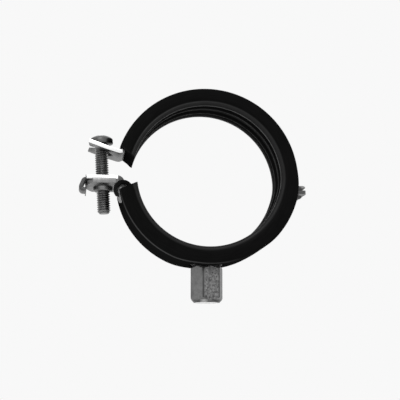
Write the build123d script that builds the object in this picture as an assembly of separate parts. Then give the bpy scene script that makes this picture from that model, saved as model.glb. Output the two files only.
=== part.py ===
from build123d import *
from math import asin, cos, degrees, dist, radians, sin, sqrt, tan
import os

# Rubber lined pipe clamp. Two steel half rings are hinged on the right (+X) and pulled together
# by one screw on the left (-X). The connection nut is welded on below (-Z).
# Origin: centre of the lower half's bore, halfway along its width. The pipe runs along Y.
# Angles in the side view start at +X and grow towards +Z. All sizes are in millimetres.

# ---------------------------------------------------------------- driving dimensions
# Rubber lining
BORE_RADIUS = 31.7          # to the crests of the ribs, lower half
LINING_WEB = 5.6            # rubber between the crests and the steel
UPPER_LINING_WEB = 3.9      # the same in the upper half, where the lining is pulled thinner
LINING_SIDE = 2.0           # rubber past each edge of the steel
LIP_THICKNESS = 1.2         # lips over the outer face of the steel
LIP_SLIT = 1.0              # between the two lips, at the middle of the outer face
LINING_FIT = 0.05           # between rubber and steel, all round
LIP_CLEARANCE = 0.5         # round the nut and the hinge, where the lips are cut away
RIM_CHAMFER = 1.5           # on the side face
RIM_CHAMFER_IN = 1.05       # in the bore
LIP_ROUND = 0.7
RIB_DEPTH = 1.0
RIB_CENTRES = (4.2,)        # ribs each side of the middle, besides the two rims
RIB_WIDTH = 1.8
RIM_WIDTH = 1.4             # flat of each rim, in the bore

# Steel strip
STRIP_THICKNESS = 1.6
STRIP_WIDTH = 20.0
BEND_RADIUS = 1.5           # inside radius where an ear or flange leaves the ring

# Upper half, in the half-open place in which the clamp is made ready
UPPER_CENTRE = (-1.0, -1.7)
UPPER_LEAVE = 160.4         # angle at which the strip leaves the ring for the ear
UPPER_LIP_END = UPPER_LEAVE + 0.4   # where the lips are cut, halfway up
UPPER_WEB_END = 171.2       # where the web is cut, halfway up
UPPER_END_SLANT = -32.0     # both cuts lean from the radius by this
EAR_ROOT_SLOPE = 16.5
EAR_ROOT_LENGTH = 4.6
EAR_TIP_SLOPE = 19.5
EAR_SOFT_BEND = 14.0        # radius of the slight bend between the two slopes
UPPER_EAR_REACH = 13.9      # from the ring's outer face to the tips of the fork

# Fork in the upper ear
FORK_CLEARANCE = 0.3        # each side of the screw
FORK_DEPTH_BEHIND = 1.9     # slot past the screw, towards the ring
FORK_MOUTH = 18.0           # opening between the tips
FORK_MOUTH_DEPTH = 3.4
FORK_CUT_PAST = 3.0         # the cut runs this far past the tips

# Lower ear
LOWER_EAR_TOP = -1.2
LOWER_EAR_REACH = 14.9      # from the ring's outer face to the shoulders of the ear
LOWER_END = 189.2           # where the lining is cut, halfway up
LOWER_END_SLANT = 14.5      # the cut leans from the radius by this
LOWER_LIP_END = 196.8       # where the lips over the outer face are cut
EAR_HOLE_CLEARANCE = 0.9
HOOK_WIDTH = 9.0
HOOK_BEND = 0.3             # inside radius of the hook's bends
HOOK_ANGLE = 68.0           # how far the hook turns down
HOOK_DROP = 2.4
HOOK_LEG = 1.3

# Nut plate
PLATE_THICKNESS = 2.0
PLATE_OVERHANG = 2.0        # past each edge of the strip
PLATE_GAP = 0.1             # under the ear
PLATE_TO_BEND = 0.5         # from the ring's outer face to the plate
PLATE_CROWN = 3.1           # how far the rounded end bulges, up to the hook
COLLAR_HEIGHT = 1.9
COLLAR_WALL = 1.3
COLLAR_CHAMFER = 0.6

# Closing screw, M6
SCREW_DIAMETER = 5.9        # outside the thread
SCREW_LENGTH = 31.0
SCREW_FIT = 0.05            # radial, in the nut plate
SCREW_OUT = 7.2             # axis from the ring's outer face, at the nut plate
SCREW_LEAN = 3.3            # degrees from vertical, head towards -X
HEAD_GAP = 0.2              # between the head and the prongs of the fork
HEAD_SEAT_OUT = 2.9         # where the head meets the prongs, from its axis
SCREW_TIP_CHAMFER = 0.9
HEAD_DIAMETER = 10.6
HEAD_HEIGHT = 4.2
HEAD_SIDE = 2.3             # straight side of the head
RECESS_WIDTH = 1.5
RECESS_DEPTH = 2.2
RECESS_CROSS = 6.0

# Rubber tail that hooks round the inner end of the nut plate
TAIL_FROM_END = (-2.2, -1.9)    # from the middle of the lining's end to the middle of the arc
TAIL_TO_PLATE = 0.1         # between the arc and the nut plate
TAIL_THICKNESS = 1.7
TAIL_START = 28.0
TAIL_END = 222.0
TAIL_TIP = 12.0             # the rounded tip reaches this many degrees further
TAIL_FIT = 0.2              # between the tail and the edge of the steel

# Connection nut, M8 above M10
NUT_FLATS = 13.0
NUT_LENGTH = 16.5           # from the ring's outer face
NUT_TURN = 4.5              # as welded
NUT_TOP_ROOM = 2.0          # drawn above the ring's face before it is cut to the ring
NUT_CHAMFER = 0.9
NUT_CHAMFER_HEIGHT = 0.5
NUT_SHOULDER = 0.35         # the nut's chamfered top end starts this far above the ring's face
M10_CORE = 4.25
M8_CORE = 3.4
M10_DEPTH = 8.5
THREAD_COUNTERSINK = 0.7

# Hinge: the upper tongue hooks through a slot in the lower flange
HINGE_HEIGHT = -5.15        # pivot line
HINGE_OUT = 2.8             # pivot line from the ring's outer face
HINGE_GAP = 0.4             # between the two flanges
FLANGE_BEND = 1.2
FLANGE_WIDTH = 11.0
FLANGE_ROUND = 1.0
FLANGE_SHOULDER = 4.0       # the lower strip narrows this far below its flange
SLOT_WIDTH = 7.0
SLOT_PLAY = 0.45            # on each side of the tongue's leg, and above and below
BRIDGE = 1.1                # flange outside the slot
TONGUE_WIDTH = 10.0
TONGUE_SIDE_PLAY = 0.5      # each side of the tongue's hook in the slot
TONGUE_SHOULDER = 2.6
TONGUE_BEND = 0.4
TONGUE_LEG = 0.7
WEDGE_GAP = 0.25            # between the linings at the pivot
WEDGE_ANGLE = 5.2           # room for closing, in degrees

# ---------------------------------------------------------------- derived sizes
STRIP_IN = BORE_RADIUS + LINING_WEB
STRIP_OUT = STRIP_IN + STRIP_THICKNESS
LIP_OUT = STRIP_OUT + LIP_THICKNESS
HALF_STRIP = STRIP_WIDTH / 2
HALF_LINING = HALF_STRIP + LINING_SIDE
LOWER_EAR_TIP = -(STRIP_OUT + LOWER_EAR_REACH)
UPPER_EAR_TIP = -(STRIP_OUT + UPPER_EAR_REACH)
TONGUE_HOOK_WIDTH = SLOT_WIDTH - 2 * TONGUE_SIDE_PLAY
BIG = 4 * LIP_OUT
RING_AXIS = Axis((0, 0, 0), (0, -1, 0))
UPWARD = (Align.CENTER, Align.CENTER, Align.MIN)
DOWNWARD = (Align.CENTER, Align.CENTER, Align.MAX)


def polar(radius, angle, centre=(0, 0)):
    return (centre[0] + radius * cos(radians(angle)), centre[1] + radius * sin(radians(angle)))


def side_view(shape):
    """Turn what was drawn in the XY plane into the side view: its X stays, its Y becomes Z."""
    return Plane.XZ * shape


def walk(start, heading, moves, offset=0.0):
    """Edges of a bent strip's face. offset shifts the line to the right of the way it goes."""
    direction = Vector(cos(radians(heading)), sin(radians(heading)))
    point = Vector(*start) + direction.rotate(Axis.Z, -90) * offset
    edges = []
    for radius, amount in moves:
        if radius is None:
            edge = Line(point, point + direction * amount)
        else:
            edge = JernArc(point, direction, radius + (offset if amount > 0 else -offset), amount)
        edges.append(edge)
        point = edge @ 1
        direction = edge % 1
    return edges


def bent_strip(start, heading, moves, width):
    """Strip along a path of lines (None, length) and bends (radius, degrees, left is positive)."""
    left = walk(start, heading, moves)
    right = walk(start, heading, moves, STRIP_THICKNESS)
    ends = [Line(left[0] @ 0, right[0] @ 0), Line(left[-1] @ 1, right[-1] @ 1)]
    face = make_face(left + right + ends)
    return side_view(extrude(face, width / 2, both=True))


def block(x_range, y_range, z_range):
    size = [high - low for low, high in (x_range, y_range, z_range)]
    middle = [(high + low) / 2 for low, high in (x_range, y_range, z_range)]
    return Pos(*middle) * Box(*size)


def both_sides(x_range, y_range, z_range):
    """The same block at +Y and -Y."""
    return block(x_range, y_range, z_range) + block(x_range, (-y_range[1], -y_range[0]), z_range)


RIGHT_SIDE = block((0, BIG), (-BIG, BIG), (-BIG, BIG))
LEFT_SIDE = block((-BIG, 0), (-BIG, BIG), (-BIG, BIG))
END_ROOM = 12               # degrees of lining drawn past an end before it is cut
END_LAP = 1                 # degrees by which two stretches of lining overlap before they are joined
NUT_CORNER = NUT_FLATS / sqrt(3)


# ---------------------------------------------------------------- screw axis and hinge place
SEAT_STEPS = 4              # the seat's height and the leaning axis settle in this many steps
SCREW_X = -(STRIP_OUT + SCREW_OUT)
PLATE_TOP = LOWER_EAR_TOP - STRIP_THICKNESS - PLATE_GAP
PLATE_BOTTOM = PLATE_TOP - PLATE_THICKNESS
PLATE_MIDDLE = (PLATE_TOP + PLATE_BOTTOM) / 2
HINGE_X = STRIP_OUT + HINGE_OUT
SHELF_TOP = HINGE_HEIGHT - HINGE_GAP / 2
SHELF_BOTTOM = SHELF_TOP - STRIP_THICKNESS
TONGUE_UNDER = HINGE_HEIGHT + HINGE_GAP / 2


PLATE_RIGHT = -(STRIP_OUT + PLATE_TO_BEND + BEND_RADIUS)


def screw_x(height):
    """Where the screw's axis is at a height."""
    return SCREW_X - (height - PLATE_MIDDLE) * tan(radians(SCREW_LEAN))


def on_screw_axis(shape, height):
    """Put what was drawn about the Z axis on the leaning axis, its origin at the height."""
    return Pos(screw_x(height), 0, height) * Rot(0, -SCREW_LEAN, 0) * shape


# ---------------------------------------------------------------- steel half rings
def lower_band():
    outer_bend = BEND_RADIUS + STRIP_THICKNESS
    hook_bend = HOOK_BEND + STRIP_THICKNESS
    flange_bend = FLANGE_BEND + STRIP_THICKNESS
    leave = degrees(asin((outer_bend - LOWER_EAR_TOP) / (STRIP_IN + outer_bend)))
    arrive = degrees(asin((SHELF_TOP - flange_bend) / (STRIP_IN + flange_bend)))
    ear_x = LOWER_EAR_TIP
    ring_start = polar(STRIP_IN, 180 + leave)
    bend_start_x = ring_start[0] - outer_bend * cos(radians(leave))
    flange_start_x = polar(STRIP_IN, arrive)[0] + flange_bend * cos(radians(arrive))
    flange_end_x = HINGE_X - STRIP_THICKNESS / 2 + STRIP_THICKNESS + SLOT_PLAY + BRIDGE

    hook = [(None, HOOK_LEG), (hook_bend, HOOK_ANGLE - 180), (None, HOOK_DROP), (hook_bend, -HOOK_ANGLE)]
    moves = hook + [
        (None, bend_start_x - ear_x),
        (outer_bend, leave - 90),
        (STRIP_IN, 180 - leave + arrive),
        (flange_bend, -90 - arrive),
        (None, flange_end_x - flange_start_x),
    ]
    hook_end = walk((0, 0), 180, hook)[-1] @ 1
    start = (ear_x - hook_end.X, LOWER_EAR_TOP - hook_end.Y)
    band = bent_strip(start, 180, moves, STRIP_WIDTH)

    # only the middle of the strip goes on into the hook and into the hinge flange
    low, high = SHELF_BOTTOM - BIG, LOWER_EAR_TOP + 1
    band -= both_sides((ear_x - BIG, ear_x), (HOOK_WIDTH / 2, BIG), (low, high))
    shoulder = SHELF_BOTTOM - FLANGE_SHOULDER
    band -= both_sides((0, BIG), (FLANGE_WIDTH / 2, BIG), (shoulder, BIG))

    leg = (HINGE_X - STRIP_THICKNESS / 2, HINGE_X + STRIP_THICKNESS / 2)
    half_slot = SLOT_WIDTH / 2
    slot_x = (leg[0] - SLOT_PLAY, leg[1] + SLOT_PLAY)
    band -= block(slot_x, (-half_slot, half_slot), (SHELF_BOTTOM - 1, SHELF_TOP + 1))

    hole = Cylinder(SCREW_DIAMETER / 2 + EAR_HOLE_CLEARANCE, 4 * STRIP_THICKNESS)
    band -= Pos(screw_x(LOWER_EAR_TOP), 0, LOWER_EAR_TOP) * hole
    corners = band.edges().filter_by(Axis.Z).group_by(Axis.X)[-1]
    return fillet(corners, FLANGE_ROUND)


def upper_ear_moves():
    """The ear from the end of the ring to its last straight stretch, as a bent strip's moves."""
    outer_bend = BEND_RADIUS + STRIP_THICKNESS
    heading = UPPER_LEAVE + 90
    root_heading = 180 - EAR_ROOT_SLOPE
    tip_turn = EAR_ROOT_SLOPE - EAR_TIP_SLOPE
    return [
        (outer_bend, root_heading - heading),
        (None, EAR_ROOT_LENGTH),
        (EAR_SOFT_BEND, tip_turn),
    ]


def ear_top(x):
    """Height of the upper ear's top face, on its last straight stretch."""
    start = polar(STRIP_IN, UPPER_LEAVE, UPPER_CENTRE)
    bend_end = walk(start, UPPER_LEAVE + 90, upper_ear_moves(), STRIP_THICKNESS)[-1] @ 1
    return bend_end.Y + (bend_end.X - x) * tan(radians(EAR_TIP_SLOPE))


def screw_seat():
    """Height of the head's underside, on the screw's axis."""
    lean = tan(radians(SCREW_LEAN))
    seat = LOWER_EAR_TOP
    for _ in range(SEAT_STEPS):
        seat = ear_top(screw_x(seat) - HEAD_SEAT_OUT) + HEAD_GAP + HEAD_SEAT_OUT * lean
    return seat


def upper_band():
    flange_bend = FLANGE_BEND + STRIP_THICKNESS
    # the tongue's underside is at TONGUE_UNDER when the ring starts at this angle
    drop = TONGUE_UNDER + flange_bend - UPPER_CENTRE[1]
    start_angle = degrees(asin(drop / (STRIP_IN + flange_bend)))
    ring_start = polar(STRIP_IN, start_angle, UPPER_CENTRE)
    flange_x = ring_start[0] + flange_bend * cos(radians(start_angle))

    leg_inside = HINGE_X - STRIP_THICKNESS / 2
    hook_top = SHELF_BOTTOM - SLOT_PLAY
    rise = TONGUE_UNDER - hook_top - 2 * TONGUE_BEND
    hook = [(None, TONGUE_LEG), (TONGUE_BEND, 90), (None, rise), (TONGUE_BEND, 90)]
    moves = hook + [
        (None, leg_inside - TONGUE_BEND - flange_x),
        (flange_bend, start_angle - 90),
        (STRIP_IN, UPPER_LEAVE - start_angle),
    ] + upper_ear_moves()
    start = (leg_inside - TONGUE_BEND - TONGUE_LEG, hook_top)
    ear_bend_end = walk(start, 0, moves)[-1] @ 1
    tip_run = (ear_bend_end.X - UPPER_EAR_TIP) / cos(radians(EAR_TIP_SLOPE))
    moves = moves + [(None, tip_run)]
    band = bent_strip(start, 0, moves, STRIP_WIDTH)

    shoulder = TONGUE_UNDER + STRIP_THICKNESS + TONGUE_SHOULDER
    band -= both_sides((0, BIG), (TONGUE_WIDTH / 2, BIG), (-BIG, shoulder))
    band -= both_sides((0, BIG), (TONGUE_HOOK_WIDTH / 2, BIG), (-BIG, TONGUE_UNDER))
    return band - fork_slot()


def fork_slot():
    """Open-ended slot with a flared mouth, cut square to the ear's tip."""
    half = SCREW_DIAMETER / 2 + FORK_CLEARANCE
    closed = screw_x(screw_seat() - 2 * STRIP_THICKNESS) + FORK_DEPTH_BEHIND
    mouth = UPPER_EAR_TIP + FORK_MOUTH_DEPTH
    outside = UPPER_EAR_TIP - FORK_CUT_PAST
    slope = (FORK_MOUTH / 2 - half) / FORK_MOUTH_DEPTH
    wide = FORK_MOUTH / 2 + slope * FORK_CUT_PAST
    outline = [(closed, half), (mouth, half), (outside, wide)]
    outline += [(x, -y) for x, y in reversed(outline)]
    edges = [Line(a, b) for a, b in zip(outline, outline[1:])]
    edges.append(ThreePointArc((closed, -half), (closed + half, 0), (closed, half)))
    return extrude(make_face(edges), BIG / 4)


# ---------------------------------------------------------------- linings
def lining_section(bore, edges=True, lips=True):
    """Section of the lining, drawn as (radius, y): the ribbed web, which can go on beside the edges
    of the steel and, as lips, over its outer face."""
    web_out = STRIP_IN - LINING_FIT
    steel_out = STRIP_OUT + LINING_FIT
    side = HALF_LINING
    steel_side = HALF_STRIP + LINING_FIT
    chamfer_y = side - RIM_CHAMFER_IN
    floor = bore + RIB_DEPTH
    rim_in = chamfer_y - RIM_WIDTH

    outline = [(floor, 0)]
    for centre in RIB_CENTRES:
        outline += [(floor, centre - RIB_WIDTH), (bore, centre - RIB_WIDTH / 4)]
        outline += [(bore, centre + RIB_WIDTH / 4), (floor, centre + RIB_WIDTH)]
    outline += [(floor, rim_in - RIB_DEPTH), (bore, rim_in), (bore, chamfer_y)]
    outline += [(bore + RIM_CHAMFER, side)]
    if edges:
        outline += [(LIP_OUT - LIP_ROUND, side), (LIP_OUT, side - LIP_ROUND)]
        if lips:
            outline += [(LIP_OUT, LIP_SLIT / 2), (steel_out, LIP_SLIT / 2), (steel_out, steel_side)]
        else:
            outline += [(LIP_OUT, steel_side)]
        outline += [(web_out, steel_side)]
    else:
        outline += [(web_out, side)]
    outline += [(web_out, 0)]
    half = make_face(Polyline(*outline, close=True))
    return half + mirror(half, Plane.XZ)


def ring_piece(section, start_angle, end_angle, centre=(0, 0)):
    ring = revolve(section, RING_AXIS, end_angle - start_angle)
    return Pos(centre[0], 0, centre[1]) * ring.rotate(RING_AXIS, start_angle)


def half_plane(point, direction):
    """Everything on the left of a line in the side view, as one thick block."""
    plate = Pos(0, BIG / 2) * Box(2 * BIG, BIG, 4 * HALF_LINING)
    return side_view(Pos(point[0], point[1]) * Rot(0, 0, direction) * plate)


def outside_ring(shape, centre=(0, 0)):
    """What of a shape lies outside the middle of the steel, so that the web isn't cut."""
    core = Rot(90, 0, 0) * Cylinder(STRIP_IN + STRIP_THICKNESS / 2, 4 * HALF_LINING)
    return shape - Pos(centre[0], 0, centre[1]) * core


def lower_lining():
    pivot = (HINGE_X, HINGE_HEIGHT - WEDGE_GAP / 2)
    lining = ring_piece(lining_section(BORE_RADIUS), LOWER_LIP_END, 360)
    lining -= half_plane(pivot, WEDGE_ANGLE / 2) & RIGHT_SIDE

    hinge_room = FLANGE_WIDTH / 2 + LIP_CLEARANCE
    hinge_low = SHELF_BOTTOM - FLANGE_SHOULDER - LIP_CLEARANCE
    openings = block((0, BIG), (-hinge_room, hinge_room), (hinge_low, 0))
    nut_room = Cylinder(NUT_CORNER + LIP_CLEARANCE, BIG, align=DOWNWARD)
    lining -= outside_ring(openings + nut_room)

    end_section = lining_section(BORE_RADIUS, lips=False)
    end = ring_piece(end_section, LOWER_END - END_ROOM, LOWER_LIP_END + END_LAP)
    end_angle = LOWER_END + LOWER_END_SLANT + 180
    end -= half_plane(lower_lining_end(), end_angle) & LEFT_SIDE
    return lining + end + lining_tail()


def lower_lining_end():
    return polar((BORE_RADIUS + LIP_OUT) / 2, LOWER_END)


def upper_lining():
    pivot = (HINGE_X, HINGE_HEIGHT + WEDGE_GAP / 2)
    bore = STRIP_IN - UPPER_LINING_WEB
    section = lining_section(bore)
    lining = ring_piece(section, -END_ROOM, UPPER_LIP_END + END_ROOM, UPPER_CENTRE)
    lining -= half_plane(pivot, 180 - WEDGE_ANGLE / 2) & RIGHT_SIDE
    lip_cut = polar(STRIP_IN + STRIP_THICKNESS / 2, UPPER_LIP_END, UPPER_CENTRE)
    lining -= half_plane(lip_cut, UPPER_LIP_END + UPPER_END_SLANT) & LEFT_SIDE

    hinge_room = TONGUE_WIDTH / 2 + LIP_CLEARANCE
    hinge_high = TONGUE_UNDER + STRIP_THICKNESS + TONGUE_SHOULDER + LIP_CLEARANCE
    opening = block((0, BIG), (-hinge_room, hinge_room), (-BIG, hinge_high))
    lining -= outside_ring(opening, UPPER_CENTRE)

    web_section = lining_section(bore, edges=False, lips=False)
    web = ring_piece(web_section, UPPER_LIP_END - END_ROOM, UPPER_WEB_END + END_ROOM, UPPER_CENTRE)
    web_cut = polar((bore + STRIP_IN) / 2, UPPER_WEB_END, UPPER_CENTRE)
    web -= half_plane(web_cut, UPPER_WEB_END + UPPER_END_SLANT) & LEFT_SIDE
    return lining + web


def lining_tail():
    """Narrow strap from the end of the web, past the strip's edge and round the nut plate's end."""
    end = lower_lining_end()
    centre = (end[0] + TAIL_FROM_END[0], end[1] + TAIL_FROM_END[1])
    outer = dist(centre, (PLATE_RIGHT, PLATE_BOTTOM)) - TAIL_TO_PLATE
    inner = outer - TAIL_THICKNESS
    middle = (TAIL_START + TAIL_END) / 2
    edges = []
    for radius in (inner, outer):
        points = [polar(radius, angle, centre) for angle in (TAIL_START, middle, TAIL_END)]
        edges.append(ThreePointArc(*points))
    edges.append(Line(edges[0] @ 0, edges[1] @ 0))
    tip = polar((inner + outer) / 2, TAIL_END + TAIL_TIP, centre)
    edges.append(ThreePointArc(edges[0] @ 1, tip, edges[1] @ 1))
    strap = extrude(make_face(edges), HALF_LINING - HALF_STRIP - TAIL_FIT)
    return Pos(0, -(HALF_STRIP + TAIL_FIT), 0) * side_view(strap)


# ---------------------------------------------------------------- nut plate, screw, nut
def nut_plate():
    right = PLATE_RIGHT
    left = LOWER_EAR_TIP + PLATE_CROWN
    half = HALF_STRIP + PLATE_OVERHANG
    outline = [
        Line((right, -half), (right, half)),
        Line((right, half), (left, half)),
        ThreePointArc((left, half), (left - PLATE_CROWN, 0), (left, -half)),
        Line((left, -half), (right, -half)),
    ]
    plate = extrude(make_face(outline), PLATE_THICKNESS)
    plate = Pos(0, 0, PLATE_BOTTOM) * plate
    radius = SCREW_DIAMETER / 2 + SCREW_FIT
    drop = COLLAR_HEIGHT + PLATE_THICKNESS / 2
    collar = Cylinder(radius + COLLAR_WALL, drop, align=DOWNWARD)
    collar = chamfer(collar.edges().group_by(Axis.Z)[0], COLLAR_CHAMFER)
    plate += on_screw_axis(collar, PLATE_MIDDLE)
    return plate - on_screw_axis(Cylinder(radius, 6 * PLATE_THICKNESS), PLATE_MIDDLE)


def closing_screw():
    radius = SCREW_DIAMETER / 2
    head_radius = HEAD_DIAMETER / 2
    rise = HEAD_HEIGHT - HEAD_SIDE
    dome = (head_radius**2 + rise**2) / (2 * rise)
    dome_centre = (0, HEAD_HEIGHT - dome)
    dome_angle = 90 - degrees(asin(head_radius / dome)) / 2
    edges = [
        Line((0, -SCREW_LENGTH), (radius - SCREW_TIP_CHAMFER, -SCREW_LENGTH)),
        Line((radius - SCREW_TIP_CHAMFER, -SCREW_LENGTH), (radius, SCREW_TIP_CHAMFER - SCREW_LENGTH)),
        Line((radius, SCREW_TIP_CHAMFER - SCREW_LENGTH), (radius, 0)),
        Line((radius, 0), (head_radius, 0)),
        Line((head_radius, 0), (head_radius, HEAD_SIDE)),
        ThreePointArc((head_radius, HEAD_SIDE), polar(dome, dome_angle, dome_centre), (0, HEAD_HEIGHT)),
        Line((0, HEAD_HEIGHT), (0, -SCREW_LENGTH)),
    ]
    screw = revolve(side_view(make_face(edges)), Axis.Z)
    floor = HEAD_HEIGHT - RECESS_DEPTH
    slot = Pos(0, 0, floor) * Box(2 * HEAD_DIAMETER, RECESS_WIDTH, HEAD_HEIGHT, align=UPWARD)
    cross = Pos(0, 0, floor) * Box(RECESS_WIDTH, RECESS_CROSS, HEAD_HEIGHT, align=UPWARD)
    return on_screw_axis(screw - slot - cross, screw_seat())


def connection_nut():
    bottom = -(STRIP_OUT + NUT_LENGTH)
    height = NUT_LENGTH + NUT_TOP_ROOM
    hexagon = extrude(RegularPolygon(NUT_FLATS / 2, 6, major_radius=False, rotation=30), height)
    cone = Cylinder(NUT_CORNER, NUT_LENGTH + NUT_SHOULDER, align=UPWARD)
    for end in (0, -1):
        cone = chamfer(cone.edges().group_by(Axis.Z)[end], NUT_CHAMFER_HEIGHT, NUT_CHAMFER)
    nut = hexagon & cone
    nut -= Cylinder(M10_CORE, M10_DEPTH, align=UPWARD) + Cylinder(M8_CORE, height, align=UPWARD)
    mouth = Cone(M10_CORE + THREAD_COUNTERSINK, M10_CORE, THREAD_COUNTERSINK, align=UPWARD)
    step = Cone(M10_CORE, M8_CORE, M10_CORE - M8_CORE, align=UPWARD)
    top_mouth = Cone(M8_CORE, M8_CORE + THREAD_COUNTERSINK, THREAD_COUNTERSINK, align=DOWNWARD)
    nut -= mouth + Pos(0, 0, M10_DEPTH) * step + Pos(0, 0, NUT_LENGTH) * top_mouth
    nut = Pos(0, 0, bottom) * Rot(0, 0, NUT_TURN) * nut
    ring_face = Rot(90, 0, 0) * Cylinder(STRIP_OUT, 2 * NUT_FLATS)
    return nut - ring_face


NODES = {
    "lower_band": lower_band,
    "upper_band": upper_band,
    "lower_lining": lower_lining,
    "upper_lining": upper_lining,
    "nut_plate": nut_plate,
    "closing_screw": closing_screw,
    "connection_nut": connection_nut,
}

os.makedirs("parts", exist_ok=True)
for name, make in NODES.items():
    shape = make()
    shape.label = name
    export_step(shape, "parts/" + name + ".step")
    print(name, "volume", round(shape.volume, 1), "solids", len(shape.solids()))
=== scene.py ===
import math
import random

import bmesh
import bpy
from mathutils import Matrix, Vector

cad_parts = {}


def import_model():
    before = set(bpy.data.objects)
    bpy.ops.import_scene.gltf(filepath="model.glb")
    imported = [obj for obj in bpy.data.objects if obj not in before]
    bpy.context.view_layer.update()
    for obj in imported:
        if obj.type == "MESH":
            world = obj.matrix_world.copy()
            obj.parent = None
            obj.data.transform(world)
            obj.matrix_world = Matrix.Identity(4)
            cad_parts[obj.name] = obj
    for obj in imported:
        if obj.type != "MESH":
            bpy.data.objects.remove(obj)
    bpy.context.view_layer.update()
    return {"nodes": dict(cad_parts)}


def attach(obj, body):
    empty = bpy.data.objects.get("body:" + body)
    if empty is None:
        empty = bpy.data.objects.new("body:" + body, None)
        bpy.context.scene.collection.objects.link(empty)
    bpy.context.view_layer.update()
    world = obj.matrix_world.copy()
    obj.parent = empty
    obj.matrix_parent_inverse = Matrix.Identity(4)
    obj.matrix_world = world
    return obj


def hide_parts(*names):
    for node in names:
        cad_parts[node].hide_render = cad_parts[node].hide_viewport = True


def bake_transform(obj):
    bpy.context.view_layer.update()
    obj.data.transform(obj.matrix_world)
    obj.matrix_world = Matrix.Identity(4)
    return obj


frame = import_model()
NODES = frame["nodes"]
MM = 0.001

# ---------------------------------------------------------------- camera, in millimetres
CAMERA_AT = (-60.03, -474.00, -89.15)
CAMERA_TO = (-2.92, 0.0, -9.68)
FOCAL_SHARE = 1087.5 / 400      # focal length over the frame's width
SENSOR = 36.0
SEEN_UP_TO = 20                 # metres

# ---------------------------------------------------------------- surroundings
BACKGROUND = 0.939              # the pale background, as a linear value
SOFT_LIGHT = 0.55
FLOOR_HEIGHT = -420.0
FLOOR_SIZE = 3000.0
KEY_AT = (-150, -560, 420)
KEY_TO = (0, 0, 0)
KEY_SIZE = (300, 300)
KEY_POWER = 1.2

# ---------------------------------------------------------------- the model's own sizes, in millimetres
STEEL_IN = 37.3                 # inner face of the steel strip, from its half's centre
STEEL_OUT = 38.9
STRIP_EDGE = 10.0               # half the strip's width
FIT = 0.05                      # between rubber and steel
LINING_SIDE = 12.0              # half the lining's width
LIP_OUT = 40.1                  # outer face of the lips that wrap round the strip's edges
UPPER_LIP_EXTRA = 0.3           # the lips are this much thicker on the upper half
THIN_LIP = 0.6                  # and this much thinner beside the nut
THIN_LIP_ANGLES = (246, 264, 298, 318)      # starts, is full, starts to end, ends
SLIT = 0.5                      # half the gap between the two lips

LOWER_CENTRE, LOWER_BORE = (0.0, 0.0), 31.7
UPPER_CENTRE, UPPER_BORE = (-1.05, -2.05), 32.9
HINGE_BLEND = (-20.0, 10.0)     # angles between which the ring's shape passes from one half to the other

LOWER_END = (189.2, 35.9, 14.5)     # angle and radius of the middle of the cut, and its slant in degrees
UPPER_END = (162.2, 37.2, -23.5)
LOWER_SLANT_ENDS = (198, 215)       # the slant fades out between these angles
UPPER_SLANT_STARTS = (500, 515)     # angles of the upper half go on past 360
LOWER_LIP_END = 196.8
LIP_LEAD = 1.4                  # about how many degrees a slanted ring is ahead of its angle at the lips
LIP_LEAD_UNTIL = 200
END_NOTCH = 0.7                 # degrees, where the side groove runs out through the upper end
END_NOTCH_ANGLES = (520.0, 522.2)
END_NOTCH_WIDTH = 0.9
END_NOTCH_BEYOND = 0.35         # its middle, outwards from the groove's middle
HINGE_ROOM_LOW = -11.45         # the lips are cut away between these heights at the hinge
HINGE_ROOM_HIGH = -0.25
HINGE_ROOM_SIDE = 6.0
NUT_ROOM = 8.0                  # radius of the opening round the nut

SCREW_SEAT = (-47.152, 0.0, 14.248)
SCREW_LEAN = 3.3                # degrees from upright
SCREW_LENGTH = 31.0
SCREW_CREST = 2.95
SCREW_ROOT = 2.36
SCREW_PITCH = 1.0
SCREW_TIP = 0.4                 # radius of the flat at the tip
SCREW_TAPER = (1.2, 0.9)        # length and depth of the taper above it
SCREW_START = 0.6               # room left between the thread's last row and the head
SCREW_PLAIN = (-0.6, -1.8)      # heights between which the thread fades into the plain neck
SCREW_NECK = 0.25               # the neck is this much inside the crest
SCREW_ROWS = 12                 # rows of points to a turn of the thread
SCREW_COLUMNS = 48
HEAD_RADIUS = 5.3
HEAD_SIDE = 2.3
HEAD_HEIGHT = 4.2
HEAD_OUTLINE = (                # radius and height above the seat, up to the dome
    (SCREW_CREST - 0.2, -0.35), (SCREW_CREST - 0.05, 0.0), (HEAD_RADIUS - 0.35, 0.0),
    (HEAD_RADIUS - 0.1, 0.1), (HEAD_RADIUS, 0.4), (HEAD_RADIUS, HEAD_SIDE - 0.45),
    (HEAD_RADIUS - 0.04, HEAD_SIDE - 0.15),
)
DOME_STEPS = 12
DOME_TURN = 88                  # degrees, nearly up to its middle
DOME_INSET = 0.2
DOME_DROP = 0.01
RECESS_WIDTH = 1.5
RECESS_DEPTH = 2.2
RECESS_CROSS = 6.0
RECESS_FLARE = 0.22
RECESS_CLEAR = (2, 1.0)         # the cutter stands out beyond the head's side and top by this much

EAR_START = -53.4               # along X, where the ears' cut edges begin to be painted near white, a painted highlight over bare cut steel
LOWER_EAR_STOP = -39.9
UPPER_EAR_STOP = -38.0

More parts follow.
